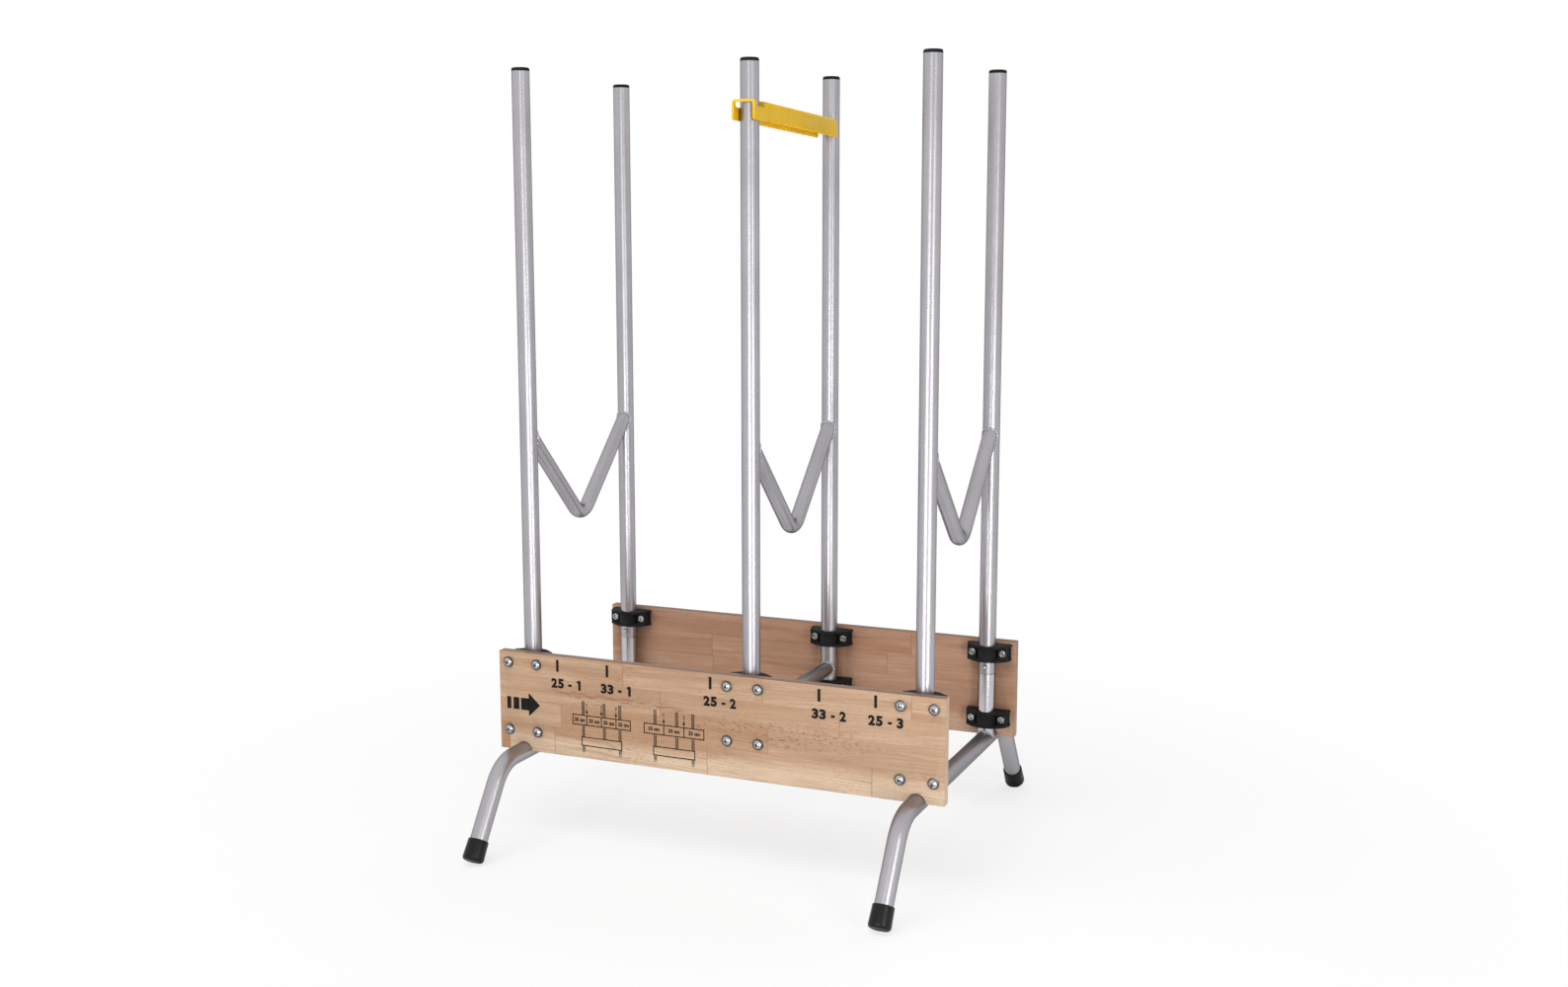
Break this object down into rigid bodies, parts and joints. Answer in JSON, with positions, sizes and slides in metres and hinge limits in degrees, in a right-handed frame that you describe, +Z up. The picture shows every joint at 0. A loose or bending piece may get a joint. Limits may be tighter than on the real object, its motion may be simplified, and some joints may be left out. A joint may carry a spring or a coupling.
{
  "type": "log saw stand",
  "caption": "Free-standing stand for sawing logs: tube posts with V saddles on splayed tube legs, tied by wooden boards, with a toothed holder that slides on a post.",
  "frame": {"origin": "on the floor, under the middle of the boards and halfway between the front and rear posts", "axes": "+X along the boards to the right as seen from the front, +Y from front to rear, +Z up along the posts"},
  "size_m": [0.7, 0.6812, 1.133],
  "materials": {
    "tube_paint": "satin silver-grey paint on steel tube",
    "board_beech": "planed, laminated and finger-jointed beech",
    "black_plastic": "moulded, soft sheen",
    "foot_rubber": "moulded rubber",
    "zinc_bright": "bright zinc",
    "washer_steel": "zinc, darker than the screws",
    "spring_steel": "spring steel strip",
    "holder_yellow": "yellow powder coat on sheet steel"
  },
  "bodies": {
    "stand": {"front_board": "board_beech", "rear_board": "board_beech", "post_front_left": "tube_paint", "post_front_middle": "tube_paint", "post_front_right": "tube_paint", "post_rear_left": "tube_paint", "post_rear_middle": "tube_paint", "post_rear_right": "tube_paint", "saddle_left": "tube_paint", "saddle_middle": "tube_paint", "saddle_right": "tube_paint", "middle_crossbar": "tube_paint", "leg_tube_left": "tube_paint", "leg_tube_right": "tube_paint", "leg_stub_front_left": "tube_paint", "leg_stub_front_right": "tube_paint", "leg_stub_rear_left": "tube_paint", "leg_stub_rear_right": "tube_paint", "foot_front_left": "foot_rubber", "foot_front_right": "foot_rubber", "foot_rear_left": "foot_rubber", "foot_rear_right": "foot_rubber", "post_cap_front_left": "black_plastic", "post_cap_front_middle": "black_plastic", "post_cap_front_right": "black_plastic", "post_cap_rear_left": "black_plastic", "post_cap_rear_middle": "black_plastic", "post_cap_rear_right": "black_plastic", "clamp_upper_front_left": "black_plastic", "clamp_upper_front_middle": "black_plastic", "clamp_upper_front_right": "black_plastic", "clamp_upper_rear_left": "black_plastic", "clamp_upper_rear_middle": "black_plastic", "clamp_upper_rear_right": "black_plastic", "clamp_lower_front_left": "black_plastic", "clamp_lower_front_middle": "black_plastic", "clamp_lower_front_right": "black_plastic", "clamp_lower_rear_left": "black_plastic", "clamp_lower_rear_middle": "black_plastic", "clamp_lower_rear_right": "black_plastic", "board_screws_front": "zinc_bright", "board_screws_rear": "zinc_bright", "screw_washers_front": "washer_steel", "screw_washers_rear": "washer_steel", "clamp_nuts_front": "zinc_bright", "clamp_nuts_rear": "zinc_bright", "button_spring_front_left": "spring_steel", "button_spring_front_right": "spring_steel", "button_spring_rear_left": "spring_steel", "button_spring_rear_right": "spring_steel"},
    "log_holder": {"log_holder": "holder_yellow"},
    "button_front_left": {"snap_button_front_left": "zinc_bright"},
    "button_front_right": {"snap_button_front_right": "zinc_bright"},
    "button_rear_left": {"snap_button_rear_left": "zinc_bright"},
    "button_rear_right": {"snap_button_rear_right": "zinc_bright"}
  },
  "joints": [
    {"name": "holder_slide", "type": "slide", "parent": "stand", "child": "log_holder", "axis": [0, 0, 1], "range_m": [-0.455, 0.045]},
    {"name": "button_press_front_left", "type": "slide", "parent": "stand", "child": "button_front_left", "axis": [0, -1, 0], "range_m": [0, 0.005], "stiffness_N_per_m": 600, "springref_m": -0.004, "deforming": ["button_spring_front_left"]},
    {"name": "button_press_front_right", "type": "slide", "parent": "stand", "child": "button_front_right", "axis": [0, -1, 0], "range_m": [0, 0.005], "stiffness_N_per_m": 600, "springref_m": -0.004, "deforming": ["button_spring_front_right"]},
    {"name": "button_press_rear_left", "type": "slide", "parent": "stand", "child": "button_rear_left", "axis": [0, 1, 0], "range_m": [0, 0.005], "stiffness_N_per_m": 600, "springref_m": -0.004, "deforming": ["button_spring_rear_left"]},
    {"name": "button_press_rear_right", "type": "slide", "parent": "stand", "child": "button_rear_right", "axis": [0, 1, 0], "range_m": [0, 0.005], "stiffness_N_per_m": 600, "springref_m": -0.004, "deforming": ["button_spring_rear_right"]}
  ]
}
